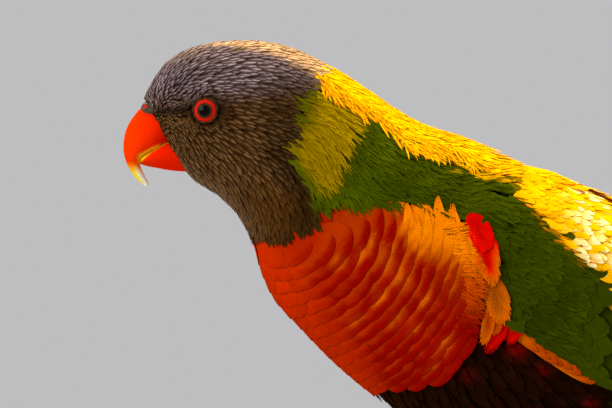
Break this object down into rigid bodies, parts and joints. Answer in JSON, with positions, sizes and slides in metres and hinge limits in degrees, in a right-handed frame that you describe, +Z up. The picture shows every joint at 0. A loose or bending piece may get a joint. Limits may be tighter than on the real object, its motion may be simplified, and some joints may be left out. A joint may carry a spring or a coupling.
{
  "type": "rainbow lorikeet model",
  "caption": "Life-size still model of a rainbow lorikeet that stands on both feet, leans forward with folded wings and looks ahead.",
  "frame": {"origin": "on the floor, below the middle of the bird's box", "axes": "-X the way the bird faces, -Y its left side, +Z up"},
  "size_m": [0.269, 0.067, 0.1403],
  "materials": {
    "hood": "dark brown and violet-grey feathers with pale shafts",
    "collar": "olive-yellow feathers",
    "breast": "red and orange feathers",
    "tail_feathers": "green feathers, yellow-green below",
    "bill_horn": "smooth orange-red horn with a yellow tip",
    "cere_skin": "dull bare skin",
    "eye": "wet, red iris and black pupil",
    "wing_feathers": "green feathers",
    "thigh_feathers": "green feathers with yellow edges",
    "foot_scales": "grey scaled skin",
    "claw_horn": "smooth dark horn"
  },
  "bodies": {
    "root": {"head": "hood", "neck": "collar", "torso": "breast", "tail": "tail_feathers", "bill_upper": "bill_horn", "bill_lower": "bill_horn", "cere": "cere_skin", "eye_left": "eye", "eye_right": "eye", "wing_left": "wing_feathers", "wing_right": "wing_feathers", "thigh_left": "thigh_feathers", "thigh_right": "thigh_feathers", "foot_left": "foot_scales", "foot_right": "foot_scales", "claw_left_front_outer": "claw_horn", "claw_left_front_inner": "claw_horn", "claw_left_back_outer": "claw_horn", "claw_left_back_inner": "claw_horn", "claw_right_front_outer": "claw_horn", "claw_right_front_inner": "claw_horn", "claw_right_back_outer": "claw_horn", "claw_right_back_inner": "claw_horn"}
  },
  "joints": []
}
